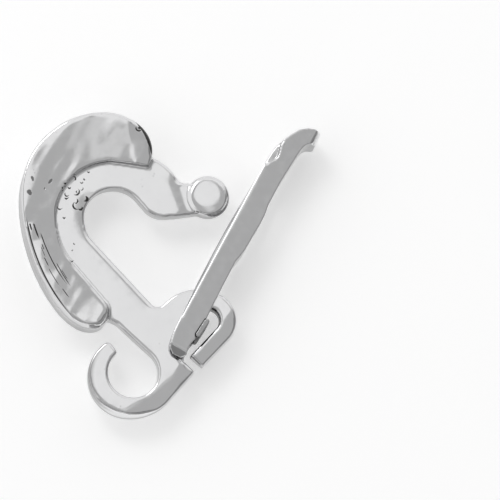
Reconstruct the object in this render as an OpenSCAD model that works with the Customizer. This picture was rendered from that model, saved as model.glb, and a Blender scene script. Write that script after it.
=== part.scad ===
// Hinged strand clip: a cast hook body with a concave saddle band, and a snap
// lever that closes over the knob at the end of the arm. Millimetres. The part
// lies on its side: X and Y run in the plane of the flat body, and Z is the
// hinge direction. The origin is the middle of the hook's round eye.

/* [Saddle band] */
// Radius of the upper stretch of the band's outer edge
band_upper_r = 5.6; // [5.5:0.01:5.7]
// Radius of the lower, flatter stretch of the band's outer edge
band_lower_r = 12.5; // [12.3:0.05:12.7]
// Width of the band at its top, across the body
band_w = 3.2; // [2.9:0.05:3.4]
// Width of the band at its lower end
band_end_w = 2.6; // [2.4:0.05:3.1]
// Depth of the hollow that runs along the outside of the band
band_hollow = 0.45; // [0.3:0.01:0.5]
// Thickness of the metal left on each rim of the hollow
band_rim = 0.14; // [0.1:0.01:0.2]

/* [Body plate] */
// Thickness of the flat body between its faces
plate_t = 1.3; // [1.1:0.05:1.4]
// Radius of the round throat at the top of the opening
throat_r = 1.93; // [1.9:0.01:1.96]
// Radius of the belly under the arm
belly_r = 1.6; // [1.5:0.01:1.65]
// Radius of the knob at the end of the arm
knob_r = 1.42; // [1.3:0.01:1.44]
// Distance between the two flats of the knob
knob_t = 1.58; // [1.4:0.02:1.6]

/* [Hook] */
// Radius of the eye that a pendant's loop hangs in
eye_r = 1.63; // [1.5:0.01:1.66]
// Radius of the hook's outer edge
hook_r = 2.69; // [2.6:0.01:2.75]

/* [Hinge] */
// Radius of the round end of the hinge slot
slot_r = 0.75; // [0.7:0.01:0.78]
// Width of the bracket that closes the slot
bracket_w = 1.12; // [1.0:0.01:1.2]
// Radius of the room that the hinge bar turns in
bar_room_r = 0.8; // [0.76:0.01:0.85]
// Width of the slit between the bracket's end and the body
slit_w = 0.55; // [0.4:0.01:0.6]

/* [Lever] */
// Width of the lever across the hinge direction
lever_w = 3.2; // [3.1:0.05:3.4]
// Thickness of each side wall of the lever
wall_t = 0.45; // [0.35:0.01:0.5]
// Thickness of the back strip that joins the walls
back_t = 0.34; // [0.28:0.01:0.38]
// Angle from straight up that the open lever leans to the right
open_lean = 28.7; // [27:0.1:29]
// Half the length of the flat hinge bar
bar_half = 0.68; // [0.6:0.01:0.7]
// Thickness of the flat hinge bar
bar_t = 0.32; // [0.26:0.01:0.34]

/* [Hidden] */
$fn = 96;
silver = [0.83, 0.83, 0.84];

// Middles of the round stretches, from the middle of the eye
// (each stretch of the band's outer edge meets the next one without a corner)
band_upper_c = [-1.59, 11.45];
band_top_r = 3.61;
band_top_c = band_upper_c + (band_upper_r - band_top_r) * [cos(95), sin(95)];
band_end_r = 2.41;
band_end_c = band_top_c + (band_top_r - band_end_r) * [cos(51), sin(51)];
band_lower_c = band_upper_c + [band_lower_r - band_upper_r, 0];
band_nose_c = [-2.63, 3.86];
band_nose_r = 1.08;
band_inner_c = [-1.30, 10.10];
band_inner_r = 3.72;
band_inner_low_r = 5.09;
band_inner_low_c = [band_inner_c.x - band_inner_r + band_inner_low_r, band_inner_c.y];
throat_c = [-1.12, 10.12];
belly_c = [2.11, 11.74];
shoulder_c = [0.06, 10.95];
shoulder_r = 3.48;
knob_c = [5.04, 11.57];
crotch_c = [1.65, 4.78];
crotch_r = 0.5;
lobe_c = [4.26, 2.45];
lobe_r = 2.99;
bracket_c = [4.90, 3.43];
bracket_r = slot_r + bracket_w;
hook_c = [-0.26, -0.30];
heel_c = [-0.24, 0.51];
heel_r = heel_c.y - hook_c.y + hook_r;
pivot = [4.45, 2.73];

// The slot and its bracket run down to the left at this angle
slot_turn = 226.4;
bracket_l = 2.52;
slot_left = 0.10;

// The bar leans this much more than the lever
bar_turn = -5;

// Round arc from one angle to another, in equal steps of about five degrees
function arc(c, r, from, to) =
    let (n = max(2, ceil(abs(to - from) / 5)))
    [for (i = [0 : n]) let (a = from + (to - from) * i / n) c + r * [cos(a), sin(a)]];

// Outline of the band seen from the side: top end, outer edge, nose, inner edge
module band_outline() {
    polygon(concat(
        arc(band_end_c, band_end_r, -9, 50),
        arc(band_top_c, band_top_r, 51, 94),
        arc(band_upper_c, band_upper_r, 95, 179),
        arc(band_lower_c, band_lower_r, 180, 216.8),
        [[-3.93, 3.27]],
        arc(band_nose_c, band_nose_r, 250, 401),
        arc(band_inner_low_c, band_inner_low_r, 221, 182),
        arc(band_inner_c, band_inner_r, 180, 90),
        [[1.15, 13.50]]
    ));
}

// Round cut that leaves the hollow between the band's two rims. It fades out
// towards the band's top end, where the outline turns in from the long arc.
module hollow_ring(centre, edge_r, from, to) {
    half = band_w / 2 - band_rim;
    cut_r = (half * half + band_hollow * band_hollow) / (2 * band_hollow);
    translate([centre.x, centre.y, 0])
        rotate([0, 0, from])
            rotate_extrude(angle = to - from)
                translate([edge_r - band_hollow + cut_r, 0])
                    circle(r = cut_r);
}

// Side slopes that narrow the band towards its lower end
module band_slopes() {
    top_y = band_lower_c.y - 0.9;
    low_y = band_nose_c.y - band_nose_r;
    far = 3;
    for (side = [-1, 1])
        translate([-12, 0, 0])
            rotate([90, 0, 90])
                linear_extrude(height = 20)
                    polygon([
                        [top_y, side * band_w / 2],
                        [low_y - 1, side * (band_end_w / 2 - 0.04)],
                        [low_y - 1, side * far],
                        [top_y, side * far]
                    ]);
}

// One stretch of the band, above or below the height where its two arcs meet,
// with the hollow that follows its own arc
module band_stretch(centre, edge_r, from, to, above) {
    difference() {
        intersection() {
            linear_extrude(height = band_w, center = true) band_outline();
            translate([0, band_upper_c.y + (above ? 10 : -10), 0])
                cube([40, 20, 10], center = true);
        }
        hollow_ring(centre, edge_r, from, to);
    }
}

module saddle_band() {
    difference() {
        union() {
            band_stretch(band_upper_c, band_upper_r, 30, 190, true);
            band_stretch(band_lower_c, band_lower_r, 170, 235, false);
        }
        band_slopes();
    }
}

// Flat body outline without the hinge slot and the eye
module plate_outline() {
    polygon(concat(
        [[3.99, 0.0]],
        arc(heel_c, heel_r, -46, -90),
        arc(hook_c, hook_r, -95, -238),
        [[-1.45, 1.93], [-1.13, 1.52], [-1.04, 1.32]],
        [[0, 0], [1.07, 1.25], [0.46, 1.79], [-1.00, 3.19], [-1.42, 3.40]],
        [[-2.6, 3.9], [-5.6, 8.6], [-5.9, 12.0], [-4.0, 15.0], [0.4, 14.9]],
        arc(shoulder_c, shoulder_r, 74, 30),
        [[3.30, 12.50], [3.50, 12.44], [3.75, 12.46], [4.5, 12.1]],
        [[4.9, 10.46], [3.66, 10.30], [2.75, 10.17]],
        arc(belly_c, belly_r, -75, -133.5),
        arc(throat_c, throat_r, 40, 195),
        [[-2.92, 9.27], [-2.78, 8.95], [-2.56, 8.66]],
        arc(crotch_c, crotch_r, -136, -41),
        arc(lobe_c, lobe_r, 139, 60),
        arc(bracket_c, bracket_r, 58, -43.6),
        [bracket_c + (bracket_l + slit_w / 2) * [cos(slot_turn), sin(slot_turn)]
            + bracket_r * [-sin(slot_turn), cos(slot_turn)]]
    ));
}

// The slot, the room that the bar turns in and the slit
module slot_outline() {
    translate(bracket_c) circle(r = slot_r);
    translate(bracket_c)
        rotate([0, 0, slot_turn]) {
            translate([0, -slot_left])
                square([bracket_l + slit_w, slot_r + slot_left]);
            translate([bracket_l, -slot_left])
                square([slit_w, 3]);
        }
    intersection() {
        translate(pivot) circle(r = bar_room_r);
        translate(bracket_c)
            rotate([0, 0, slot_turn]) translate([-1, -3]) square([4, 3.2]);
    }
}

module flat_plate() {
    difference() {
        linear_extrude(height = plate_t, center = true) plate_outline();
        linear_extrude(height = plate_t + 1, center = true) slot_outline();
        cylinder(r = eye_r, h = plate_t + 1, center = true);
    }
}

// Round knob with a flat on each side
module knob() {
    translate([knob_c.x, knob_c.y, 0])
        intersection() {
            sphere(r = knob_r);
            cube([3 * knob_r, 3 * knob_r, knob_t], center = true);
        }
}

module hook_body() {
    color(silver)
        union() {
            saddle_band();
            flat_plate();
            knob();
        }
}

// The lever's own frame: the pivot is its origin, Y runs along it to the tip,
// and its open side faces -X
module in_lever_frame() {
    translate([pivot.x, pivot.y, 0]) rotate([0, 0, -open_lean]) children();
}

// Side outline of the lever, with the slight swell of its back and the thumb tab
module lever_outline() {
    polygon([
        [-1.44, -1.70], [-1.25, -2.11], [-0.91, -2.38], [-0.34, -2.33], [-0.07, -2.05],
        [-0.19, -1.62], [-0.17, -1.16], [-0.08, -0.80], [-0.07, 0.90], [-0.12, 2.50],
        [-0.15, 4.90], [-0.07, 5.25], [0.02, 5.80], [0.05, 6.40], [0.06, 7.20],
        [0.10, 7.75], [0.10, 8.45], [0.06, 8.80], [-0.02, 9.25], [-0.02, 10.90],
        [0.02, 11.60], [0.06, 12.20], [0.10, 12.80], [0.15, 13.40], [0.24, 13.80],
        [0.42, 14.05], [0.86, 14.16], [0.80, 14.96], [0.69, 15.10], [0.32, 15.13],
        [-0.10, 14.97], [-0.58, 14.61], [-0.94, 13.98], [-1.20, 13.45], [-1.37, 13.00],
        [-1.47, 12.40], [-1.50, 11.90], [-1.51, 11.20], [-1.57, 10.00], [-1.68, 8.00],
        [-1.72, 6.00], [-1.72, 4.50], [-1.69, 2.60], [-1.61, 0.50], [-1.55, -1.10]
    ]);
}

// What the near wall lacks beside the thumb tab
module near_step() {
    polygon([
        [-2.00, 11.47], [-1.41, 11.47], [-1.28, 11.77], [-1.02, 12.10], [-0.97, 12.30],
        [-0.99, 12.50], [-1.15, 13.09], [-1.12, 13.45], [-2.00, 13.60]
    ]);
}

// What the thumb tab lacks at its two corners, seen from the tip
module tab_corners() {
    polygon([[0.40, 1.7], [0.50, 1.60], [0.90, 1.18], [1.20, 1.18], [1.20, 1.7]]);
    polygon([[-0.10, -1.7], [0.05, -1.60], [0.55, -1.28], [0.90, -0.80], [1.20, -0.80], [1.20, -1.7]]);
}

// Flat hinge bar with round edges, grown by a clearance where a seat is cut
module bar_section(grow) {
    r = bar_t / 2 + grow;
    rotate([0, 0, bar_turn]) {
        for (end = [-1, 1])
            translate([0, end * (bar_half - bar_t / 2)]) circle(r = r);
        square([2 * r, 2 * bar_half - bar_t], center = true);
    }
}

module snap_lever() {
    inner = lever_w - 2 * wall_t;
    back_x = -0.13 - back_t;
    hinge_gap_y = 2.9;
    channel_y = 11.4;
    window = [7.20, 10.40];
    window_w = knob_t + 0.3;
    bevel = 0.2;
    foot_y = -1.85;
    foot_slope = 40;
    color(silver)
        in_lever_frame()
            difference() {
                linear_extrude(height = lever_w, center = true) lever_outline();
                translate([-3, -4, -inner / 2])
                    cube([3 + back_x, 4 + channel_y, inner]);
                translate([-1, -4, -inner / 2])
                    cube([2, 4 + hinge_gap_y, inner]);
                translate([-1, window[0], -window_w / 2])
                    cube([2, window[1] - window[0], window_w]);
                translate([0, 0, lever_w / 2 - wall_t])
                    linear_extrude(height = 1) near_step();
                translate([0, 13.7, 0])
                    rotate([90, 0, 0]) mirror([0, 0, 1])
                        linear_extrude(height = 2) tab_corners();
                for (side = [0, 1])
                    mirror([0, 0, side]) {
                        translate([-1.70, 5.5, lever_w / 2])
                            rotate([0, 45, 0])
                                cube([bevel * sqrt(2), 11, bevel * sqrt(2)], center = true);
                        translate([-3, foot_y, lever_w / 2])
                            rotate([foot_slope, 0, 0]) translate([0, -3, 0]) cube([6, 3, 2]);
                    }
                linear_extrude(height = lever_w + 1, center = true) bar_section(0.03);
            }
}

module hinge_bar() {
    color(silver)
        in_lever_frame()
            linear_extrude(height = lever_w - 0.04, center = true) bar_section(0);
}

hook_body();
snap_lever();
hinge_bar();
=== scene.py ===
# %% [markdown]
# # A clip clasp in polished silver
#
# The real object is a hinged clip that closes over a strand of beads, with a
# small hook for a pendant. It has three pieces of silver: a cast hook body,
# a folded snap lever and a short flat hinge bar. They were cast, filed and
# polished by hand, so no edge is sharp and no face is quite flat. This lesson
# dresses the three solids of the frame with soft edges, a saddle-shaped band,
# wear, pits and painted shade.

# %% Load the frame
import math

import bmesh
import bpy
import numpy as np
from mathutils import Matrix, Vector
from mathutils.geometry import delaunay_2d_cdt


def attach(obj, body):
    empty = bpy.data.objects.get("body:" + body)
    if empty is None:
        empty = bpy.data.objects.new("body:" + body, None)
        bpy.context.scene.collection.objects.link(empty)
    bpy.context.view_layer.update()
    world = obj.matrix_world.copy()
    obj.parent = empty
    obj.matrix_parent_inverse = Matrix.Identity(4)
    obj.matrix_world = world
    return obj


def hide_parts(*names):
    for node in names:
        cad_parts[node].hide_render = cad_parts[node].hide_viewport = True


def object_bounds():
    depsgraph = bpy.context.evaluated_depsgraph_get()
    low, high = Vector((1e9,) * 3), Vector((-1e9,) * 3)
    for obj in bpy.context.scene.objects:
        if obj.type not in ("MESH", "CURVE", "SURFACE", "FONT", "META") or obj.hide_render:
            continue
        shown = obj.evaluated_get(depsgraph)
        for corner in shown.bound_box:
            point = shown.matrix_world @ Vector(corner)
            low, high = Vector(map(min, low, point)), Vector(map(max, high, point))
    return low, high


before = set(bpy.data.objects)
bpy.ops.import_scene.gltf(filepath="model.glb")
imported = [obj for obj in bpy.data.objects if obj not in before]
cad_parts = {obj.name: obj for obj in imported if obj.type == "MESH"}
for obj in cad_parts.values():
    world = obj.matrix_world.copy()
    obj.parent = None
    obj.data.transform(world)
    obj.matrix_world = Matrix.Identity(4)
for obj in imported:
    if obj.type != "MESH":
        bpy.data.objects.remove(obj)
MM = 0.001
cad_low, cad_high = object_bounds()
print("CAD box in mm:", [round(v / MM, 2) for v in (*cad_low, *cad_high)])

# %% [markdown]
# ## Outlines from arcs
#
# Each flat piece is a side outline with a thickness. The outlines are runs of
# round arcs and a few corners, as a caster's pattern drawing has them. They
# could be drawn as Blender curves, but plain lists are easier to read, and
# each run can say how far its edges were rounded by the file.

# %% Arcs and runs
def arc(centre, radius, start, end, step=2.5):
    count = max(2, math.ceil(abs(end - start) / step))
    turns = [math.radians(start + (end - start) * i / count) for i in range(count + 1)]
    return [(centre[0] + radius * math.cos(t), centre[1] + radius * math.sin(t)) for t in turns]


def from_polar(centre, radius, turn):
    return (centre[0] + radius * math.cos(math.radians(turn)),
            centre[1] + radius * math.sin(math.radians(turn)))


print("a half round has", len(arc((0, 0), 1, 0, 180)), "points")

# %% [markdown]
# ## A slab with filed edges
#
# A sheet or a casting has rounded edges of different sizes along one outline.
# The Bevel modifier gives one width for all. Here the walls are built ring by
# ring instead: near each face the rings step inwards as a filed chamfer, and
# its width may change from point to point. A hollow can be pressed into
# the same wall, which is how the band gets its saddle. The flat faces could be
# one polygon each, but such a face folds over itself where the outline bends
# inwards, so a constrained Delaunay step fills them with small triangles.

# %% Walls of a slab
def new_object(name, bm):
    mesh = bpy.data.meshes.new(name)
    bm.to_mesh(mesh)
    bm.free()
    piece = bpy.data.objects.new(name, mesh)
    bpy.context.scene.collection.objects.link(piece)
    return piece


def inward(points):
    """Miter directions into the outline, for points that run anticlockwise."""
    p = np.array(points, float)
    ahead = np.roll(p, -1, axis=0) - p
    ahead /= np.linalg.norm(ahead, axis=1)[:, None] + 1e-12
    left = np.stack([-ahead[:, 1], ahead[:, 0]], axis=1)
    before = np.roll(left, 1, axis=0)
    both = left + before
    scale = np.maximum(1 + (left * before).sum(axis=1), 0.5)
    return both / scale[:, None]


def wall_rows(half, edge, hollow, middle_steps=1):
    """(height, inset) pairs up one wall. The widest points lie on the outline."""
    rows = [(-half, 0.7 * edge), (-half + edge, 0.0)]
    for k in range(1, middle_steps):
        rows.append((-(half - edge) * (1 - 2 * k / middle_steps), 0.0))
    rows += [(-z, inset) for z, inset in reversed(rows[:2])]
    widest = (1 - edge / half) ** 2
    return [(z, inset + hollow * (widest - (z / half) ** 2)) for z, inset in rows]


print("a wall 1.3 mm high:", wall_rows(0.65, 0.14, 0))


# %% Small triangles across a flat face
def grid_inside(outline, spacing):
    """Points of a square grid that lie inside an outline and clear of its edge."""
    a, b = outline, np.roll(outline, -1, axis=0)
    steps = [np.arange(low + spacing / 2, high, spacing)
             for low, high in zip(outline.min(axis=0), outline.max(axis=0))]
    g = np.stack(np.meshgrid(*steps), axis=-1).reshape(-1, 1, 2)
    way = b - a
    share = (((g - a) * way).sum(axis=2) / (way ** 2).sum(axis=1)).clip(0, 1)
    away = np.linalg.norm(g - a - share[:, :, None] * way, axis=2).min(axis=1)
    rises = (a[:, 1] > g[:, :, 1]) != (b[:, 1] > g[:, :, 1])
    with np.errstate(divide="ignore", invalid="ignore"):
        left = g[:, :, 0] < a[:, 0] + way[:, 0] * (g[:, :, 1] - a[:, 1]) / way[:, 1]
    odd = (rises & left).sum(axis=1) % 2 == 1
    return g[odd & (away > spacing / 2), 0]


def fill(bm, ring, flipped, spacing=0.15):
    """Small triangles across a flat ring, however far its outline bends inwards."""
    outline = np.array([(v.co.x, v.co.y) for v in ring]) / MM
    flat = [Vector(p) for p in (*outline, *grid_inside(outline, spacing))]
    places, _, faces, origins, _, _ = delaunay_2d_cdt(flat, [], [list(range(len(ring)))], 1, 1e-5)
    corners = [ring[origin[0]] if origin and origin[0] < len(ring)
               else bm.verts.new((p.x * MM, p.y * MM, ring[0].co.z))
               for p, origin in zip(places, origins)]
    for face in faces:
        bm.faces.new([corners[i] for i in (reversed(face) if flipped else face)])


# %% The slab builder
LEAST_STEP, LEAST_EDGE, BLEND_ROUNDS = 0.02, 0.02, 10


def slab(name, runs, half, middle_steps=1):
    """A closed slab from runs of (points, chamfer width, hollow depth), in millimetres."""
    points, sizes = [], []
    for run, edge, hollow in runs:
        for p in run:
            if not points or math.dist(p, points[-1]) > LEAST_STEP:
                points.append(p)
                sizes.append((edge, hollow))
    area = sum(a[0] * b[1] - b[0] * a[1] for a, b in zip(points, points[1:] + points[:1]))
    if area < 0:
        points, sizes = points[::-1], sizes[::-1]
    sizes = np.array(sizes, float)
    for _ in range(BLEND_ROUNDS):
        sizes = (np.roll(sizes, 1, axis=0) + sizes + np.roll(sizes, -1, axis=0)) / 3
    inside = inward(points)
    columns = [wall_rows(half, max(edge, LEAST_EDGE), hollow, middle_steps)
               for edge, hollow in sizes]
    bm = bmesh.new()
    rings = []
    for k in range(len(columns[0])):
        rings.append([bm.verts.new(((p[0] + n[0] * c[k][1]) * MM, (p[1] + n[1] * c[k][1]) * MM,
                                    c[k][0] * MM))
                      for p, n, c in zip(points, inside, columns)])
    count = len(points)
    for low, high in zip(rings, rings[1:]):
        for i in range(count):
            j = (i + 1) % count
            bm.faces.new((low[i], low[j], high[j], high[i]))
    fill(bm, rings[0], True)
    fill(bm, rings[-1], False)
    piece = new_object(name, bm)
    print(name, "has", len(points), "points round it and", len(piece.data.polygons), "faces")
    return piece


# %% [markdown]
# ## Fusing and softening
#
# A casting is one skin with no seams. Separate closed forms could be joined
# with Boolean modifiers, but those leave hard creases where they meet. A voxel
# remesh fuses the forms, and a few rounds of averaging then smooth the faces,
# as polishing does, but hold back where the metal bends, so the edges stay.

# %% Fuse forms into one skin
def plain_mesh(piece):
    """The evaluated shape of a piece as its own mesh, with the modifiers gone."""
    depsgraph = bpy.context.evaluated_depsgraph_get()
    mesh = bpy.data.meshes.new_from_object(piece.evaluated_get(depsgraph))
    piece.modifiers.clear()
    old = piece.data
    piece.data = mesh
    bpy.data.meshes.remove(old)
    mesh.name = piece.name


def fuse(name, forms, voxel):
    bm = bmesh.new()
    for form in forms:
        bm.from_mesh(form.data)
        bpy.data.objects.remove(form)
    piece = new_object(name, bm)
    remesh = piece.modifiers.new("Fuse", "REMESH")
    remesh.mode = "VOXEL"
    remesh.voxel_size = voxel * MM
    plain_mesh(piece)
    print(name, "fused to", len(piece.data.polygons), "faces")
    return piece


# %% Average the points of a mesh
STILL_BENT = 0.03  # one minus the cosine between two points' normals


def points_of(piece):
    co = np.empty(len(piece.data.vertices) * 3, np.float32)
    piece.data.vertices.foreach_get("co", co)
    return co.reshape(-1, 3).astype(float)


def set_points(piece, co):
    piece.data.vertices.foreach_set("co", co.astype(np.float32).ravel())
    piece.data.update()


def averaged(co, ends, rounds, factor=0.5):
    """Each point moves towards the mean of its neighbours, a number of times."""
    count = np.bincount(ends.ravel(), minlength=len(co))[:, None]
    for _ in range(rounds):
        total = np.stack([np.bincount(ends[:, 0], co[ends[:, 1], k], len(co))
                          + np.bincount(ends[:, 1], co[ends[:, 0], k], len(co))
                          for k in range(3)], axis=1)
        co = co + factor * (total / count - co)
    return co


def edge_ends(piece):
    ends = np.empty(len(piece.data.edges) * 2, np.int32)
    piece.data.edges.foreach_get("vertices", ends)
    return ends.reshape(-1, 2)


def normals_of(piece):
    normals = np.empty(len(piece.data.vertices) * 3, np.float32)
    piece.data.vertices.foreach_get("normal", normals)
    return normals.reshape(-1, 3)


def relax(piece, edge_rounds, face_rounds):
    """Softens everything a little, then smooths only where the surface is nearly flat."""
    ends = edge_ends(piece)
    co = averaged(points_of(piece), ends, edge_rounds)
    set_points(piece, co)
    normals = normals_of(piece)
    bend = 1 - (normals[ends[:, 0]] * normals[ends[:, 1]]).sum(axis=1)
    most_bent = np.zeros(len(co))
    np.maximum.at(most_bent, ends[:, 0], bend)
    np.maximum.at(most_bent, ends[:, 1], bend)
    calm = np.clip(1.2 - most_bent / STILL_BENT, 0, 1)[:, None]
    set_points(piece, averaged(co, ends, face_rounds, 0.5 * calm))
    print(piece.name, "softened,", round(100 * float(calm.mean())), "% of it nearly flat")


# %% [markdown]
# ## Painted shade in creases, on walls and in the slot
#
# The material paints shade into creases and onto side walls, and paints the
# narrow hinge slot nearly black. A material can't know its surroundings, so
# the mesh stores two numbers for it at each point: recess, how deep the point
# lies under a smoothed copy, and flank, how far it faces sideways, with more
# of it inside the slot.

# %% Store the painted shade on the mesh
STEEP, STEEP_BLEND = 0.62, 0.4  # the upward part of a normal at which a wall counts as a flank
# Painted shade: the slot's walls get this many times the flank of other walls.
SLOT_PAINTED_SHADE, SLOT_MARGIN = 1.8, 0.12


def mark_painted_shade(piece, rounds, full):
    """Writes both numbers, which the silver turns into painted shade. The smoothing rounds set how
    wide a crease may be.
    """
    co, normals = points_of(piece), normals_of(piece)
    lifted = averaged(co, edge_ends(piece), rounds)
    depth = ((lifted - co) * normals).sum(axis=1) / (full * MM)
    flank = np.clip((STEEP - np.abs(normals[:, 2])) / STEEP_BLEND, 0, 1)
    along, across = slot_frame(co[:, 0] / MM, co[:, 1] / MM)
    in_slot = (abs(along - SLOT_MIDDLE) < SLOT_REACH) & (abs(across) < SLOT_R + SLOT_MARGIN)
    # More painted shade inside the hinge slot.
    flank *= np.where(in_slot, SLOT_PAINTED_SHADE, 1)
    for label, values in (("recess", np.clip(depth, -1, 1)), ("flank", flank)):
        layer = piece.data.attributes.new(label, "FLOAT", "POINT")
        layer.data.foreach_set("value", values.astype(np.float32))
    print(piece.name, "deepest recess", round(float(depth.max()) * full, 3), "mm")


# %% [markdown]
# ## Hand-finished faces
#
# Filing and buffing leave faces that waver by a few hundredths of a
# millimetre, which is what breaks up the reflections on real silver. A
# Geometry Nodes tree moves every point along its normal by two sizes of noise.
# Its inputs are the depth, the size of the waves and a seed, so each piece
# gets its own wear from one tree.

# %% The wear tree
def wear_tree():
    tree = bpy.data.node_groups.new("hand_finish", "GeometryNodeTree")
    face = tree.interface
    face.new_socket("Geometry", in_out="INPUT", socket_type="NodeSocketGeometry")
    for label in ("Depth", "Wave size", "Seed", "Stroke turn", "Stroke length"):
        face.new_socket(label, in_out="INPUT", socket_type="NodeSocketFloat")
    face.new_socket("Silver", in_out="INPUT", socket_type="NodeSocketMaterial")
    face.new_socket("Geometry", in_out="OUTPUT", socket_type="NodeSocketGeometry")
    node, link = tree.nodes.new, tree.links.new
    given, result = node("NodeGroupInput"), node("NodeGroupOutput")
    noise = node("ShaderNodeTexNoise")
    noise.noise_dimensions = "4D"
    noise.inputs["Detail"].default_value = 1.0
    scale = node("ShaderNodeMath")
    scale.operation = "DIVIDE"
    scale.inputs[0].default_value = 1.0
    centred = node("ShaderNodeMath")
    centred.operation = "SUBTRACT"
    centred.inputs[1].default_value = 0.5
    depth = node("ShaderNodeMath")
    depth.operation = "MULTIPLY"
    along = node("ShaderNodeVectorMath")
    along.operation = "SCALE"
    normal, place = node("GeometryNodeInputNormal"), node("GeometryNodeInputPosition")
    turned, stretch = node("ShaderNodeVectorRotate"), node("ShaderNodeVectorMath")
    turned.rotation_type = "Z_AXIS"
    stretch.operation = "DIVIDE"
    strokes = node("ShaderNodeCombineXYZ")
    strokes.inputs[1].default_value = strokes.inputs[2].default_value = 1.0
    move, real = node("GeometryNodeSetPosition"), node("GeometryNodeRealizeInstances")
    paint = node("GeometryNodeSetMaterial")
    link(given.outputs["Wave size"], scale.inputs[1])
    link(scale.outputs[0], noise.inputs["Scale"])
    link(given.outputs["Seed"], noise.inputs["W"])
    link(place.outputs[0], turned.inputs["Vector"])
    link(given.outputs["Stroke turn"], turned.inputs["Angle"])
    link(turned.outputs[0], stretch.inputs[0])
    link(given.outputs["Stroke length"], strokes.inputs[0])
    link(strokes.outputs[0], stretch.inputs[1])
    link(stretch.outputs[0], noise.inputs["Vector"])
    link(noise.outputs[0], centred.inputs[0])
    link(centred.outputs[0], depth.inputs[0])
    link(given.outputs["Depth"], depth.inputs[1])
    link(normal.outputs[0], along.inputs[0])
    link(depth.outputs[0], along.inputs["Scale"])
    link(given.outputs["Geometry"], move.inputs["Geometry"])
    link(along.outputs[0], move.inputs["Offset"])
    link(move.outputs[0], real.inputs[0])
    link(real.outputs[0], paint.inputs["Geometry"])
    link(given.outputs["Silver"], paint.inputs["Material"])
    link(paint.outputs[0], result.inputs[0])
    return tree


def finish_by_hand(piece, tree, depth, waves, seed, silver, turn=0.0, length=1.0):
    wear = piece.modifiers.new("Hand finish", "NODES")
    wear.node_group = tree
    given = {"Depth": depth * MM, "Wave size": waves * MM, "Seed": float(seed), "Silver": silver,
             "Stroke turn": -math.radians(turn), "Stroke length": float(length)}
    given = {label: value for label, value in given.items() if value is not None}
    for item in tree.interface.items_tree:
        if item.in_out == "INPUT" and item.name in given:
            wear[item.identifier] = given[item.name]
    plain_mesh(piece)
    for face in piece.data.polygons:
        face.use_smooth = True
    print(piece.name, "worn,", len(piece.data.polygons), "faces")


# %% One tree for every piece
hand_finish = wear_tree()
print("wear inputs:", [item.name for item in hand_finish.interface.items_tree])

# %% [markdown]
# ## The flat body
#
# The body plate carries the round throat, the arm, the lobe with its hinge
# slot and the pendant hook. On the real clasp its outer edges are filed round
# and the inner ones are nearly square. One closed outline is enough: it runs
# round the hook, through the open eye, and in and out of the slit to the slot.

# %% Sizes of the flat body
PLATE_HALF = 0.65
EYE_R = 1.63
THROAT_C, THROAT_R = (-1.12, 10.12), 1.93
BELLY_C, BELLY_R = (2.11, 11.74), 1.6
SHOULDER_C, SHOULDER_R = (0.06, 10.95), 3.48
KNOB_C, KNOB_R, KNOB_HALF, KNOB_DOME = (5.04, 11.57), 1.42, 0.79, 0.05
CROTCH_C, CROTCH_R = (1.65, 4.78), 0.5
LOBE_C, LOBE_R = (4.26, 2.45), 2.99
HOOK_C, HOOK_R = (-0.26, -0.30), 2.69
HEEL_C, HEEL_R = (-0.24, 0.51), 3.50
BRACKET_C, SLOT_R, BRACKET_R = (4.90, 3.43), 0.75, 1.87
BRACKET_L, SLIT_W, SLOT_LEFT, SLOT_TURN = 2.52, 0.55, 0.10, 226.4
SLOT_MIDDLE, SLOT_REACH, BRACKET_END = 0.85, 1.7, 2.8
PIVOT, BAR_ROOM_R = (4.45, 2.73), 0.8


# %% The hinge slot
def in_bracket(along, across):
    """A point in the slot's own frame: along the slot, and across it to the outside."""
    t = math.radians(SLOT_TURN)
    return (BRACKET_C[0] + along * math.cos(t) - across * math.sin(t),
            BRACKET_C[1] + along * math.sin(t) + across * math.cos(t))


def slot_frame(x, y):
    """The same the other way round: how far points lie along the slot and across it."""
    t = math.radians(SLOT_TURN)
    x, y = x - BRACKET_C[0], y - BRACKET_C[1]
    return x * math.cos(t) + y * math.sin(t), y * math.cos(t) - x * math.sin(t)


slot_round = [in_bracket(*from_polar((0, 0), SLOT_R, a)) for a in range(90, 311, 5)]
room_round = arc(PIVOT, BAR_ROOM_R, SLOT_TURN - 114.5, SLOT_TURN - 18.7)
slot_run = ([in_bracket(BRACKET_L, BRACKET_R - 0.02), in_bracket(BRACKET_L, SLOT_R)]
            + slot_round + room_round
            + [in_bracket(BRACKET_L + SLIT_W, -SLOT_LEFT),
               in_bracket(BRACKET_L + SLIT_W, 1.70)])
print("slot and slit:", len(slot_run), "points")

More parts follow.
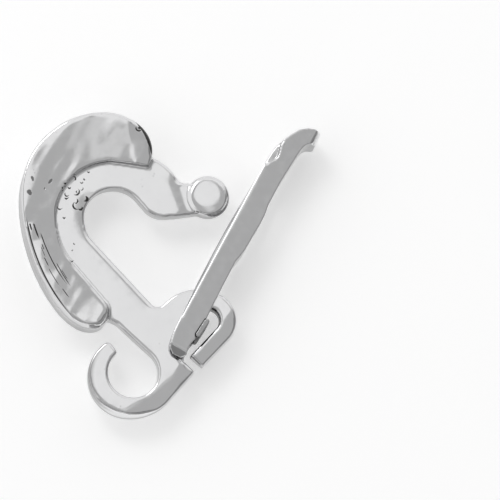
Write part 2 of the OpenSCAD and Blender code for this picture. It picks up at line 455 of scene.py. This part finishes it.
# %% The whole body outline
SOFT, FILED, CRISP = 0.14, 0.50, 0.06
leg_run = [(-2.56, 8.66)] + [(-2.56 + 3.85 * k / 30, 8.66 - 4.23 * k / 30) for k in range(1, 30)]
plate_runs = [
    (arc(HEEL_C, HEEL_R, -46, -64), SOFT, 0),
    (arc(HEEL_C, HEEL_R, -66, -90), 0.8 * FILED, 0),
    (arc(HOOK_C, HOOK_R, -92.5, -130), FILED, 0),
    (arc(HOOK_C, HOOK_R, -132.5, -155), 0.7 * FILED, 0),
    (arc(HOOK_C, HOOK_R, -157.5, -180), 0.4 * FILED, 0),
    (arc(HOOK_C, HOOK_R, -182.5, -238), CRISP, 0),
    ([(-1.45, 1.93), (-1.13, 1.52), (-1.04, 1.32)], CRISP, 0),
    (arc((0, 0), EYE_R, 128.2, 409.4), CRISP, 0),
    ([(0.46, 1.79), (-1.00, 3.19), (-1.42, 3.40)], CRISP, 0),
    ([(-2.6, 3.9), (-5.6, 8.6), (-5.9, 12.0), (-4.0, 15.0), (0.4, 14.9)], CRISP, 0),
    (arc(SHOULDER_C, SHOULDER_R, 74, 30), SOFT, 0),
    ([(3.30, 12.50), (3.50, 12.44), (3.75, 12.46), (4.5, 12.1)], SOFT, 0),
    ([(4.9, 10.46), (3.66, 10.30), (2.75, 10.17)], SOFT, 0),
    (arc(BELLY_C, BELLY_R, -75, -133.5), SOFT, 0),
    (arc(THROAT_C, THROAT_R, 40, 195), CRISP, 0),
    ([(-2.92, 9.27), (-2.78, 8.95)], CRISP, 0),
    (leg_run, CRISP, 0),
    (arc(CROTCH_C, CROTCH_R, -136, -41), CRISP, 0),
    (arc(LOBE_C, LOBE_R, 139, 60), CRISP, 0),
    (arc(BRACKET_C, BRACKET_R, 58, -43.6), SOFT, 0),
    (slot_run, SOFT, 0),
]
plate = slab("plate_form", plate_runs, PLATE_HALF)

# %% [markdown]
# ## Filed facets
#
# The flat faces aren't one plane. The file leaned over at the bracket and the
# heel, dipped before the knob and wore a margin along the throat and the leg.
# Leans of three to six degrees are hard to see in the outline, but each one
# mirrors another part of the room. Each is a drop that grows past a line.

# %% Facets on both faces
MARGIN_W, MARGIN_DROP = 0.85, 0.055
BRACKET_LEAN, HEEL_LEAN, NECK_LEAN = 0.10, 0.10, 0.075  # drop for each millimetre past the line


def past(line_start, line_end, x, y):
    """How far points lie to the right of a line, in millimetres."""
    way = np.subtract(line_end, line_start) / math.dist(line_start, line_end)
    return (x - line_start[0]) * way[1] - (y - line_start[1]) * way[0]


co = points_of(plate)
x, y = co[:, 0] / MM, co[:, 1] / MM
away = np.full(len(co), 9.0)
for px, py in arc(THROAT_C, THROAT_R, 150, 195) + [(-2.92, 9.27), (-2.78, 8.95)] + leg_run:
    away = np.minimum(away, np.hypot(x - px, y - py))
drop = MARGIN_DROP * np.clip(1 - away / MARGIN_W, 0, 1)
along, across = slot_frame(x, y)
drop += np.where(along < BRACKET_END, BRACKET_LEAN * np.clip(across - SLOT_R, 0, 1.1), 0)
heel = np.maximum(past((0.0, -2.07), (2.52, -0.29), x, y), past((2.52, -0.29), (3.26, 0.90), x, y))
drop += np.where((along > BRACKET_END) & (y < 1.6), HEEL_LEAN * np.clip(heel, 0, 1.0), 0)
neck = past((3.00, 10.53), (2.31, 12.43), x, y)
drop += np.where(y > 9.8, NECK_LEAN * np.clip(neck, 0, 0.8) * np.clip((13.1 - y) / 0.5, 0, 1), 0)
co[:, 2] *= 1 - drop / PLATE_HALF
set_points(plate, co)
print("deepest facet", round(float(drop.max()), 3), "mm")

# %% [markdown]
# ## The knob
#
# The knob at the end of the arm is a ball with a flat on each side, so that
# it passes the lever's window. Rings of a sphere make it, and smaller rings
# close each flat with the slight dome that polishing left.

# %% Knob form
def knob_form():
    rim = KNOB_HALF - KNOB_DOME
    flat_r = math.sqrt(KNOB_R ** 2 - rim ** 2)
    dome = [(KNOB_HALF - KNOB_DOME * (k / 8) ** 2, flat_r * k / 8) for k in range(1, 8)]
    ball = [(rim * (1 - k / 12), math.sqrt(KNOB_R ** 2 - (rim * (1 - k / 12)) ** 2))
            for k in range(25)]
    bm = bmesh.new()
    rings = []
    for z, r in [(-z, r) for z, r in dome] + ball[::-1] + dome[::-1]:
        rings.append([bm.verts.new((x * MM, y * MM, z * MM))
                      for x, y in arc(KNOB_C, r, 0, 360, 3)[:-1]])
    for low, high in zip(rings, rings[1:]):
        for i in range(len(low)):
            j = (i + 1) % len(low)
            bm.faces.new((low[i], low[j], high[j], high[i]))
    bm.faces.new(rings[0][::-1])
    bm.faces.new(rings[-1])
    return new_object("knob_form", bm)


knob = knob_form()
print("knob has", len(knob.data.polygons), "faces")

# %% [markdown]
# ## The saddle band
#
# The wide band round the back of the body is a crescent. Its outside is
# hollowed like a saddle between two soft rims, so that it shines like a curved
# mirror. It could be swept along a path, but its inner edge doesn't run
# parallel to the outer one, so it is a slab whose outer wall is pressed in.
# The hollow fades at the ends of the crescent, and the band narrows downwards.
# Its side faces slope a little towards the inside, with a rubbed strip along
# the lower rim and one steeper facet at the upper end, as the file left them.

# %% Sizes of the band
BAND_HALF, BAND_END_HALF, HOLLOW = 1.6, 1.26, 0.45
UPPER_C, UPPER_R, LOWER_R = (-1.59, 11.45), 5.6, 12.5
LOWER_C = (UPPER_C[0] + LOWER_R - UPPER_R, UPPER_C[1])
TOP_R, END_R = 3.61, 2.41
TOP_C = from_polar(UPPER_C, UPPER_R - TOP_R, 95)
END_C = from_polar(TOP_C, TOP_R - END_R, 51)
NOSE_C, NOSE_R = (-2.63, 3.86), 1.08
INNER_C, INNER_R, INNER_LOW_R, UNDERCUT = (-1.30, 10.10), 3.61, 4.98, 0.13
INNER_LOW_C = (INNER_C[0] - INNER_R + INNER_LOW_R, INNER_C[1])
TAPER_TOP, TAPER_LOW = 10.55, 1.78
FLANGE_SLOPE, WORN_RIM, WORN_FALL, END_FACET = 0.048, 0.040, 0.012, 0.12
WORN_TOP, WORN_LOW, WORN_W = 9.7, 4.4, 0.55


# %% Outline of the band
def from_outer_edge(x, y):
    """How far points lie inside the band's outer edge, in millimetres."""
    return np.where(y > UPPER_C[1], UPPER_R - np.hypot(x - UPPER_C[0], y - UPPER_C[1]),
                    LOWER_R - np.hypot(x - LOWER_C[0], y - LOWER_C[1]))


def between(start, end, count):
    return [(start[0] + (end[0] - start[0]) * k / count, start[1] + (end[1] - start[1]) * k / count)
            for k in range(1, count)]


def bend(start, corner, end, count):
    """A curve that leaves the line to a corner early and joins the next one late."""
    return [tuple((1 - t) ** 2 * a + 2 * t * (1 - t) * b + t ** 2 * c
                  for a, b, c in zip(start, corner, end))
            for t in (k / count for k in range(1, count))]


nose_in, nose_out = from_polar(LOWER_C, LOWER_R, 210), from_polar(NOSE_C, NOSE_R, 270)
nose_corner = (-4.12, 2.78)
band_runs = [
    (arc(END_C, END_R, -9, 20), 0.20, 0.0),
    (arc(END_C, END_R, 22, 50), 0.26, 0.12),
    (arc(TOP_C, TOP_R, 51, 94), 0.50, 0.28),
    (arc(UPPER_C, UPPER_R, 95, 140), 0.50, HOLLOW),
    (arc(UPPER_C, UPPER_R, 142, 179), 0.26, HOLLOW),
    (arc(LOWER_C, LOWER_R, 180, 190, 1), 0.24, HOLLOW),
    (arc(LOWER_C, LOWER_R, 191, 206, 1), 0.42, HOLLOW),
    (arc(LOWER_C, LOWER_R, 207, 210, 1), 0.54, 0.38),
    (bend(nose_in, nose_corner, nose_out, 18), 0.54, 0.25),
    (arc(NOSE_C, NOSE_R, 270, 290), 0.50, 0.10),
    (arc(NOSE_C, NOSE_R, 292, 350), 0.36, 0.0),
    (arc(NOSE_C, NOSE_R, 352, 401), 0.14, 0.0),
    (arc(INNER_LOW_C, INNER_LOW_R, 221, 182), 0.02, UNDERCUT),
    (arc(INNER_C, INNER_R, 180, 90), 0.02, UNDERCUT),
    (between(from_polar(INNER_C, INNER_R, 90), (1.15, 13.42), 10) + [(1.15, 13.42)], 0.02, UNDERCUT),
]
band = slab("band_form", band_runs, BAND_HALF, middle_steps=16)

# %% Taper, slopes and waver of the band
co = points_of(band)
half = np.interp(co[:, 1] / MM, [TAPER_LOW, TAPER_TOP], [BAND_END_HALF, BAND_HALF])
x, y = co[:, 0] / MM, co[:, 1] / MM
inset = np.maximum(from_outer_edge(x, y), 0)
worn = np.clip((WORN_TOP - y) / 0.4, 0, 1) * np.clip((y - WORN_LOW) / 1.4, 0, 1)
half *= 1 - FLANGE_SLOPE * inset + worn * (WORN_RIM * np.minimum(inset, WORN_W) - WORN_FALL * inset)
half -= END_FACET * np.clip(past((0.10, 14.35), (-0.09, 15.71), x, y), 0, 1.5)
co[:, 2] *= half / BAND_HALF
set_points(band, co)
finish_by_hand(band, hand_finish, 0.10, 1.3, 4, None, 62, 3.2)
print("band half width from", round(float(half.min()), 2), "to", round(float(half.max()), 2), "mm")

# %% [markdown]
# ## One cast hook body
#
# The three forms are fused at a voxel of 0.077 mm, which keeps the body under
# the triangle limit and still holds the thin rims of the saddle.

# %% Fuse the hook body
hook_body = fuse("hook_body_silver", [plate, knob, band], 0.077)
relax(hook_body, 3, 12)

# %% [markdown]
# ## The snap lever
#
# The lever is sheet silver folded to a channel that is open towards the
# throat, with a thumb tab curled out at its tip. Its solid in the frame is
# already exact, so a merged copy of it is fused finely and softened. The copy
# keeps the window for the knob and the gap at the hinge. Its two walls are
# drawn together a little towards the fold, as a bent sheet springs open.

# %% Lever and hinge bar from the frame
WALL_SPLAY, LEVER_TURN, OPEN_SIDE = 0.040, math.radians(-28.7), 1.7


def copy_of(node):
    """A merged copy of a frame solid. The frame's own mesh is left alone."""
    bm = bmesh.new()
    bm.from_mesh(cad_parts[node].data)
    bmesh.ops.remove_doubles(bm, verts=bm.verts, dist=1e-8)
    bmesh.ops.recalc_face_normals(bm, faces=bm.faces)
    return new_object(node + "_form", bm)


snap_lever = fuse("snap_lever_silver", [copy_of("snap_lever")], 0.055)
co = points_of(snap_lever)
to_back = ((co[:, 0] / MM - PIVOT[0]) * math.cos(LEVER_TURN)
           + (co[:, 1] / MM - PIVOT[1]) * math.sin(LEVER_TURN))
co[:, 2] *= 1 - WALL_SPLAY * (to_back + OPEN_SIDE)
set_points(snap_lever, co)
relax(snap_lever, 2, 10)
hinge_bar = fuse("hinge_bar_silver", [copy_of("hinge_bar")], 0.035)
relax(hinge_bar, 2, 4)

# %% [markdown]
# ## Silver
#
# Polished silver is a mirror with fine flaws: a haze of buffing marks, small
# pits left by gas in the casting and scratches. The haze and the fine pores come
# from noise on Object coordinates. The pits and scratches that one can point at
# come from small tables of places and sizes. They could be cut into the mesh,
# but most are thinner than its faces, so the material draws them as dark
# marks with a bump. The same tables hold painted shade on two edges of the
# body, a painted shade line along the band's rim and a painted shade on the
# lever's relief, and the recess and flank attributes bring painted shade into
# creases, onto side walls and into the slot.

# %% Small helpers for materials
def add(tree, kind, **values):
    made = tree.nodes.new(kind)
    for key, value in values.items():
        if hasattr(made, key):
            setattr(made, key, value)
        else:
            made.inputs[key.replace("_", " ")].default_value = value
    return made


def maths(tree, operation, a, b):
    made = add(tree, "ShaderNodeMath", operation=operation)
    for socket, value in zip(made.inputs, (a, b)):
        if isinstance(value, (int, float)):
            socket.default_value = value
        else:
            tree.links.new(value, socket)
    return made.outputs[0]


def ramp(tree, value, low, high, to_low=0.0, to_high=1.0):
    made = add(tree, "ShaderNodeMapRange")
    made.interpolation_type = "SMOOTHSTEP"
    tree.links.new(value, made.inputs["Value"])
    for label, number in (("From Min", low), ("From Max", high),
                          ("To Min", to_low), ("To Max", to_high)):
        made.inputs[label].default_value = number
    return made.outputs[0]


def noise(tree, vector, size, detail=3.0, seed=0.0):
    made = add(tree, "ShaderNodeTexNoise", noise_dimensions="4D")
    made.inputs["Scale"].default_value = 1 / (size * MM)
    made.inputs["Detail"].default_value = detail
    made.inputs["W"].default_value = seed
    tree.links.new(vector, made.inputs["Vector"])
    return made.outputs[0]


def add_noise_vector(tree, vector, size):
    """Noise as an offset about zero, to bend a pattern's outlines."""
    made = add(tree, "ShaderNodeTexNoise", noise_dimensions="3D")
    made.inputs["Scale"].default_value = 1 / (size * MM)
    tree.links.new(vector, made.inputs["Vector"])
    centred = add(tree, "ShaderNodeVectorMath", operation="SUBTRACT")
    tree.links.new(made.outputs["Color"], centred.inputs[0])
    centred.inputs[1].default_value = (0.5, 0.5, 0.5)
    return centred.outputs[0]


def mapped(tree, vector, centre=(0, 0), turn=0.0, stretch=1.0):
    """Coordinates about a centre in millimetres, for a pattern stretched along turn."""
    made = add(tree, "ShaderNodeMapping", vector_type="TEXTURE")
    tree.links.new(vector, made.inputs["Vector"])
    made.inputs["Location"].default_value = (centre[0] * MM, centre[1] * MM, 0)
    made.inputs["Rotation"].default_value = (0, 0, math.radians(turn))
    made.inputs["Scale"].default_value = (stretch, 1, 1)
    return made.outputs[0]


# %% Pits, stains, scratches and painted shade from small tables
def crescent(tree, flat, x, y, radius, shift, turn, lit=1.0, soft=0.03, strength=1.0):
    """Inside a circle but outside a second one moved towards turn: a wall in shade."""
    moved = from_polar((x, y), shift * radius, turn)
    masks = []
    for centre, r, low, high, fade in (((x, y), radius, strength, 0.0, 0.03),
                                       (moved, lit * radius, 0.0, 1.0, soft)):
        made = add(tree, "ShaderNodeVectorMath", operation="DISTANCE")
        tree.links.new(flat, made.inputs[0])
        made.inputs[1].default_value = (centre[0] * MM, centre[1] * MM, 0)
        masks.append(ramp(tree, made.outputs["Value"], (r - fade) * MM, r * MM, low, high))
    return maths(tree, "MULTIPLY", *masks)


def stain(tree, flat, x, y, radius, stretch, turn, strength):
    """A soft dark spot with a stretched outline."""
    made = add(tree, "ShaderNodeVectorMath", operation="LENGTH")
    tree.links.new(mapped(tree, flat, (x, y), turn, stretch), made.inputs[0])
    return ramp(tree, made.outputs["Value"], 0.7 * radius * MM, radius * MM, strength, 0.0)


def line_along_band(tree, radius_here, turn_here, radius, drift, start, end, width):
    """One on a line that keeps nearly the same distance from the band's middle."""
    wanted = maths(tree, "ADD", maths(tree, "MULTIPLY", maths(tree, "SUBTRACT", turn_here, start),
                                      drift * MM / (end - start)), radius * MM)
    off = maths(tree, "ABSOLUTE", maths(tree, "SUBTRACT", radius_here, wanted), 0.0)
    taper = maths(tree, "MULTIPLY", ramp(tree, turn_here, start, start + 0.12 * (end - start)),
                  ramp(tree, turn_here, start + 0.6 * (end - start), end, 1.0, 0.0))
    edge = maths(tree, "SUBTRACT", maths(tree, "MULTIPLY", taper, width * MM), off)
    return ramp(tree, edge, 0.0, 0.4 * width * MM)


# %% All marks of one material
def fine_pores(tree, place, seed):
    """Faint round pores of a 0.34 mm grain, in patches."""
    grain = add(tree, "ShaderNodeTexVoronoi", voronoi_dimensions="3D", feature="F1")
    grain.inputs["Scale"].default_value = 1 / (0.34 * MM)
    tree.links.new(place, grain.inputs["Vector"])
    chosen = ramp(tree, noise(tree, place, 1.1, 1.0, seed + 2), 0.60, 0.66)
    return maths(tree, "MULTIPLY", ramp(tree, grain.outputs["Distance"], 0.08, 0.22, 0.15, 0.0),
                 chosen)


def charted_marks(tree, place, marks, crescent_rows, dark_spots, scratch_and_shade_lines):
    """Adds the rows of the tables to the marks, on the upper side only."""
    link = tree.links.new
    wobble = add(tree, "ShaderNodeVectorMath", operation="SCALE")
    link(add_noise_vector(tree, place, 0.25), wobble.inputs[0])
    wobble.inputs["Scale"].default_value = 0.10 * MM
    bent = add(tree, "ShaderNodeVectorMath", operation="ADD")
    link(place, bent.inputs[0])
    link(wobble.outputs[0], bent.inputs[1])
    flattened = add(tree, "ShaderNodeVectorMath", operation="MULTIPLY")
    link(bent.outputs[0], flattened.inputs[0])
    flattened.inputs[1].default_value = (1, 1, 0)
    flat = flattened.outputs[0]
    apart = add(tree, "ShaderNodeSeparateXYZ")
    link(place, apart.inputs[0])
    upper_side = ramp(tree, apart.outputs[2], 0.3 * MM, 0.4 * MM)
    for row in crescent_rows:
        marks = maths(tree, "MAXIMUM", marks, crescent(tree, flat, *row))
    for row in dark_spots:
        marks = maths(tree, "MAXIMUM", marks, stain(tree, flat, *row))
    if scratch_and_shade_lines:
        x = maths(tree, "SUBTRACT", apart.outputs[0], LOWER_C[0] * MM)
        y = maths(tree, "SUBTRACT", apart.outputs[1], LOWER_C[1] * MM)
        radius_here = maths(tree, "SQRT", maths(tree, "ADD", maths(tree, "MULTIPLY", x, x),
                                                maths(tree, "MULTIPLY", y, y)), 0.0)
        turn_here = maths(tree, "ADD", maths(tree, "MULTIPLY", maths(tree, "ARCTAN2", y, x),
                                             180 / math.pi), 360.0)
        lines = line_along_band(tree, radius_here, turn_here, *scratch_and_shade_lines[0])
        for row in scratch_and_shade_lines[1:]:
            lines = maths(tree, "MAXIMUM", lines, line_along_band(tree, radius_here, turn_here, *row))
        raised = ramp(tree, apart.outputs[2], 0.9 * MM, 1.0 * MM)
        marks = maths(tree, "MAXIMUM", marks, maths(tree, "MULTIPLY", lines, raised))
    return maths(tree, "MULTIPLY", marks, upper_side)


# %% The silver itself
# The dark of pits, stains and scratches, also used for the painted shade in creases, on walls and at
# the charted edges.
MARK_AND_SHADE_DARK = (0.05, 0.049, 0.047, 1)
MARK_SHADE, CREASE_SHADE, FLANK_SHADE, ROUGHER = 0.97, 0.4, 0.5, 0.2
BUFF_HEIGHT, MARK_DEPTH, BUMP_SCALE, BUMP_STRENGTH = 0.01, 0.2, 0.06, 0.6


def silver_material(name, seed, tone, roughness, crescent_rows=(), dark_spots=(), scratch_and_shade_lines=()):
    material = bpy.data.materials.new(name)
    material.use_nodes = True
    tree = material.node_tree
    tree.nodes.clear()
    link = tree.links.new
    place = add(tree, "ShaderNodeTexCoord").outputs["Object"]

    haze = noise(tree, place, 0.5, 4.0, seed)
    rough = ramp(tree, haze, 0.3, 0.75, roughness, roughness + 0.08)
    clouds = noise(tree, place, 2.4, 2.0, seed + 5)
    buff = noise(tree, mapped(tree, place, turn=35, stretch=4.0), 0.12, 3.0, seed + 9)
    marks = charted_marks(tree, place, fine_pores(tree, place, seed), crescent_rows, dark_spots, scratch_and_shade_lines)
    height = maths(tree, "SUBTRACT", maths(tree, "MULTIPLY", buff, BUFF_HEIGHT),
                   maths(tree, "MULTIPLY", marks, MARK_DEPTH))

    # Painted shade in the creases, from the recess attribute.
    recess = add(tree, "ShaderNodeAttribute", attribute_name="recess").outputs["Fac"]
    painted_crease_shade = ramp(tree, recess, 0.5, 1.2, 0.0, CREASE_SHADE)
    dark = maths(tree, "MAXIMUM", painted_crease_shade, maths(tree, "MULTIPLY", marks, MARK_SHADE))

    shade = add(tree, "ShaderNodeMix", data_type="RGBA")
    shade.inputs[6].default_value = (tone * 0.92, tone * 0.92, tone * 0.93, 1)
    shade.inputs[7].default_value = (tone, tone, tone * 1.005, 1)
    link(clouds, shade.inputs[0])
    # Painted shade on walls that face sideways, darkest in the hinge slot.
    flank = add(tree, "ShaderNodeAttribute", attribute_name="flank").outputs["Fac"]
    dark = maths(tree, "MAXIMUM", dark, maths(tree, "MULTIPLY", flank, FLANK_SHADE))
    marked_and_shaded = add(tree, "ShaderNodeMix", data_type="RGBA")
    marked_and_shaded.inputs[7].default_value = MARK_AND_SHADE_DARK
    link(dark, marked_and_shaded.inputs[0])
    link(shade.outputs[2], marked_and_shaded.inputs[6])

    bump = add(tree, "ShaderNodeBump")
    bump.inputs["Strength"].default_value = BUMP_STRENGTH
    bump.inputs["Distance"].default_value = BUMP_SCALE * MM
    link(height, bump.inputs["Height"])
    metal = add(tree, "ShaderNodeBsdfPrincipled")
    metal.inputs["Metallic"].default_value = 1.0
    link(marked_and_shaded.outputs[2], metal.inputs["Base Color"])
    link(maths(tree, "ADD", rough, maths(tree, "MULTIPLY", dark, ROUGHER)),
         metal.inputs["Roughness"])
    link(bump.outputs[0], metal.inputs["Normal"])
    link(metal.outputs[0], add(tree, "ShaderNodeOutputMaterial").inputs["Surface"])
    print(name, "has", len(tree.nodes), "nodes")
    return material


# %% [markdown]
# ## Finishing the three pieces
#
# The cast body has gas pits round the throat and down the leg, a dent at the
# band's upper end and worn scratches along its lower flange. Painted shade lies
# on the hook's outer bevel, along the band's upper end and in a line along the
# band's outer rim, and a painted shade dims the bright lines round the lever's
# relief. A pit is a crescent of painted shade, because only the wall of it that
# lies in shade is dark. The lever is smoother, and the hinge bar is dull
# because it can't be polished in place.

# %% Flaws that the real clasp has, with painted shade among them
PITS_AND_EDGE_SHADES = [  # x, y, radius, shift of the lit part, the side it lies on, its size, fade, strength
    (-3.52, 11.80, 0.24, 0.45, 140), (-3.50, 11.82, 0.09, 0.90, 0), (-3.17, 12.45, 0.11, 0.6, 100),
    (-3.67, 12.71, 0.15, 0.5, 200), (-4.16, 11.65, 0.17, 0.5, 60), (-4.17, 11.42, 0.13, 0.7, 90),
    (-3.99, 12.10, 0.11, 0.9, 80), (-4.63, 10.81, 0.19, 0.4, 60), (-3.56, 11.20, 0.17, 0.6, 150),
    (-3.56, 10.90, 0.27, 0.4, 30), (-3.27, 10.73, 0.17, 0.9, 120), (-2.92, 11.35, 0.20, 0.9, 160),
    (-4.35, 10.12, 0.10, 0.9, 90), (-2.99, 12.65, 0.09, 0.7, 40), (-3.17, 12.02, 0.12, 0.5, 130),
    (-2.74, 13.14, 0.08, 0.8, 80), (-3.71, 8.40, 0.08, 0.7, 60), (-3.85, 7.98, 0.07, 0.8, 100),
    (-3.88, 7.29, 0.11, 0.6, 90), (-4.32, 12.25, 0.10, 0.9, 90), (-4.45, 11.95, 0.09, 0.9, 60),
    (0.50, 15.84, 0.22, 0.55, 60), (0.56, 15.90, 0.10, 2.5, 0),
    # These two rows are painted shade and no pits: along the band's upper end, and on the hook's
    # outer bevel.
    (*END_C, 2.44, 1.589, 206, 2.469), (*HOOK_C, 2.80, 0.1607, 10, 1.107, 0.45, 0.55),
]
STAINS = [  # x, y, radius, stretch, turn, strength
    (-6.62, 11.60, 0.17, 1.4, -55, 0.80), (-6.42, 12.52, 0.10, 2.0, -70, 0.75),
    (-5.26, 12.35, 0.10, 2.4, 55, 0.75), (-5.64, 11.88, 0.06, 1.8, 60, 0.65),
    (-2.20, -1.81, 0.07, 5.0, -42, 0.50),
]
# Painted shade over the lever's relief, dimming its bright bevel lines.
RELIEF_SHADE = (9.30, 14.40, 0.44, 2.3, 62, 0.30)
SCRATCHES_AND_RIM_SHADE = [  # radius, drift, start, end, half width
    (11.52, -0.36, 191.4, 214.5, 0.048), (11.84, -0.16, 188.8, 195.0, 0.066),
    (12.08, -0.05, 188.8, 191.6, 0.060), (11.75, -0.05, 200.2, 204.0, 0.040),
    (11.76, -0.10, 203.8, 212.0, 0.030), (11.15, -0.10, 203.0, 214.0, 0.038),
    (11.60, -0.03, 211.6, 216.0, 0.038), (11.62, -0.03, 196.0, 198.4, 0.036),
    (11.04, -0.05, 206.0, 211.0, 0.028), (11.72, -0.06, 196.6, 201.0, 0.026),
    # This last row is no scratch but a painted shade line along the band's outer rim.
    (12.23, -0.06, 186.0, 226.0, 0.060),
]
print(len(PITS_AND_EDGE_SHADES), "pits,", len(STAINS), "stains and", len(SCRATCHES_AND_RIM_SHADE), "scratch_and_shade_lines")

# %% Wear, painted shade and silver on each piece
body_silver = silver_material("body_silver", 1.0, 0.87, 0.05, PITS_AND_EDGE_SHADES, STAINS, SCRATCHES_AND_RIM_SHADE)
lever_silver = silver_material("lever_silver", 7.0, 0.85, 0.06, dark_spots=[RELIEF_SHADE])
bar_silver = silver_material("bar_silver", 12.0, 0.45, 0.22)

finish_by_hand(hook_body, hand_finish, 0.007, 2.2, 3, body_silver)
finish_by_hand(snap_lever, hand_finish, 0.02, 1.6, 8, lever_silver, 61.3, 5.0)
finish_by_hand(hinge_bar, hand_finish, 0.01, 0.8, 5, bar_silver)
# Stores recess and flank, which the silver turns into painted shade.
for piece, full in ((hook_body, 0.05), (snap_lever, 0.04), (hinge_bar, 0.03)):
    mark_painted_shade(piece, 8, full)

# %% Tie the pieces to the frame
for piece, body, node, slot in ((hook_body, "hook", "hook_body", "body_silver"),
                                (snap_lever, "lever", "snap_lever", "lever_silver"),
                                (hinge_bar, "lever", "hinge_bar", "bar_silver")):
    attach(piece, body)
    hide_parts(node)
    print(piece.name, "rides on", body, "with", len(piece.data.vertices), "points")

# %% [markdown]
# ## Camera, floor and light
#
# The clasp lies on its side on a pale floor. The photograph looks almost
# straight down on it with a long lens, from a little below and to the left.
# The camera could be turned by hand until it fits. Here it is computed from
# three angles, a scale and the pixel where the eye's middle lies.

# %% Camera
LEFT, BELOW, ROLL = 5.4, 10.3, -0.97
PX_PER_MM, ORIGIN_PX, DISTANCE = 15.5, (132.6, 373.8), 420.0
a, e = math.radians(LEFT), math.radians(BELOW)
back = Vector((-math.sin(a) * math.cos(e), -math.sin(e), math.cos(a) * math.cos(e)))
right = Vector((0, 1, 0)).cross(back).normalized()
up = back.cross(right)
turn = math.radians(ROLL)
right, up = (right * math.cos(turn) + up * math.sin(turn),
             up * math.cos(turn) - right * math.sin(turn))
aim = right * ((250 - ORIGIN_PX[0]) / PX_PER_MM) + up * ((ORIGIN_PX[1] - 250) / PX_PER_MM)
camera_data = bpy.data.cameras.new("photo_camera")
camera_data.sensor_width = 36
camera_data.lens = 36 * DISTANCE / (500 / PX_PER_MM)
camera_data.clip_start, camera_data.clip_end = 0.01, 10
camera = bpy.data.objects.new("photo_camera", camera_data)
camera.matrix_world = (Matrix.Translation((aim + back * DISTANCE) * MM)
                       @ Matrix((right, up, back)).transposed().to_4x4())
bpy.context.scene.collection.objects.link(camera)
bpy.context.scene.camera = camera
print("lens", round(camera_data.lens), "mm")

# %% Floor
bm = bmesh.new()
bmesh.ops.create_grid(bm, x_segments=1, y_segments=1, size=3.0)
floor = new_object("floor", bm)
floor.location.z = cad_low.z - 0.0001
paper = bpy.data.materials.new("floor_paper")
paper.use_nodes = True
for label, value in (("Base Color", (0.80, 0.80, 0.80, 1)), ("Roughness", 0.9),
                     ("Emission Color", (1, 1, 1, 1)), ("Emission Strength", 0.42)):
    paper.node_tree.nodes["Principled BSDF"].inputs[label].default_value = value
floor.data.materials.append(paper)
print("floor at", round(floor.location.z / MM, 2), "mm")

# %% [markdown]
# ## The room that the silver mirrors
#
# Silver shows what is around it, so the light matters more than the colour.
# Lamps alone would leave it black between small highlights. The world is a
# plain room drawn by direction instead: a softbox that the flat faces mirror,
# a small window beside it, a ring round them that is bright towards the back
# left and dark on the other side, and grey walls. One dark patch low at the
# front draws the thin dark edges. A disk lamp adds the soft shadow.

# %% Fields of light
world = bpy.data.worlds.new("studio")
bpy.context.scene.world = world
world.use_nodes = True
sky = world.node_tree
sky.nodes.clear()
direction = add(sky, "ShaderNodeTexCoord").outputs["Generated"]


def towards(tree, aim_at, low, high, to_low, to_high):
    """A field of light round one direction."""
    made = add(tree, "ShaderNodeVectorMath", operation="DOT_PRODUCT")
    tree.links.new(direction, made.inputs[0])
    made.inputs[1].default_value = Vector(aim_at).normalized()
    return ramp(tree, made.outputs["Value"], low, high, to_low, to_high)


flat_part = add(sky, "ShaderNodeVectorMath", operation="MULTIPLY")
sky.links.new(direction, flat_part.inputs[0])
flat_part.inputs[1].default_value = (1, 1, 0)
compass = add(sky, "ShaderNodeVectorMath", operation="NORMALIZE")
sky.links.new(flat_part.outputs[0], compass.inputs[0])


def facing(tree, aim_at, low, high):
    """One on the side of the room that lies towards aim_at, zero on the other."""
    made = add(tree, "ShaderNodeVectorMath", operation="DOT_PRODUCT")
    tree.links.new(compass.outputs[0], made.inputs[0])
    made.inputs[1].default_value = Vector(aim_at).normalized()
    return ramp(tree, made.outputs["Value"], low, high)


# %% The room
parts = add(sky, "ShaderNodeSeparateXYZ")
sky.links.new(direction, parts.inputs[0])
height = parts.outputs[2]
softbox = towards(sky, (0.04, 0.225, 0.97), 0.9870, 0.9912, 0.0, 0.42)
window = towards(sky, (0.10, 0.03, 0.994), 0.9980, 0.9989, 0.0, 0.22)
bright_side = facing(sky, (-0.6, 0.8, 0), -0.35, 0.25)
dim_side = facing(sky, (0.8, -0.5, 0), 0.2, 0.8)
ring = maths(sky, "MULTIPLY", ramp(sky, height, 0.930, 0.905), ramp(sky, height, 0.74, 0.80))
walls = ramp(sky, height, 0.80, 0.70)
ring_light = maths(sky, "SUBTRACT", maths(sky, "MULTIPLY", bright_side, 0.72), 0.28)
wall_light = maths(sky, "ADD", 0.26, maths(sky, "MULTIPLY", bright_side, 0.16))
wall_light = maths(sky, "SUBTRACT", wall_light, maths(sky, "MULTIPLY", dim_side, 0.42))
level = maths(sky, "ADD", maths(sky, "ADD", maths(sky, "MAXIMUM", softbox, window), 0.46),
              maths(sky, "ADD", maths(sky, "MULTIPLY", ring, ring_light),
                    maths(sky, "MULTIPLY", walls, wall_light)))
level = maths(sky, "MULTIPLY", level, ramp(sky, height, 0.0, 0.25, 0.5, 1.0))
dark_patch = towards(sky, (-0.45, -0.81, 0.38), 0.955, 0.985, 1.0, 0.3)
level = maths(sky, "MULTIPLY", level, dark_patch)
glow = add(sky, "ShaderNodeBackground")
glow.inputs["Color"].default_value = (1, 1, 1, 1)
sky.links.new(level, glow.inputs["Strength"])
sky.links.new(glow.outputs[0], add(sky, "ShaderNodeOutputWorld").inputs["Surface"])
print("the room has", len(sky.nodes), "nodes")

# %% Key light
key_data = bpy.data.lights.new("key", "AREA")
key_data.shape = "DISK"
key_data.size = 0.12
key_data.energy = 0.12
key = bpy.data.objects.new("key", key_data)
key.location = (-0.10, 0.16, 0.22)
key.rotation_euler = (-key.location).to_track_quat("-Z", "Y").to_euler()
bpy.context.scene.collection.objects.link(key)
bpy.context.scene.view_settings.view_transform = "Standard"
print("key light", round(1000 * key.location.length), "mm away")
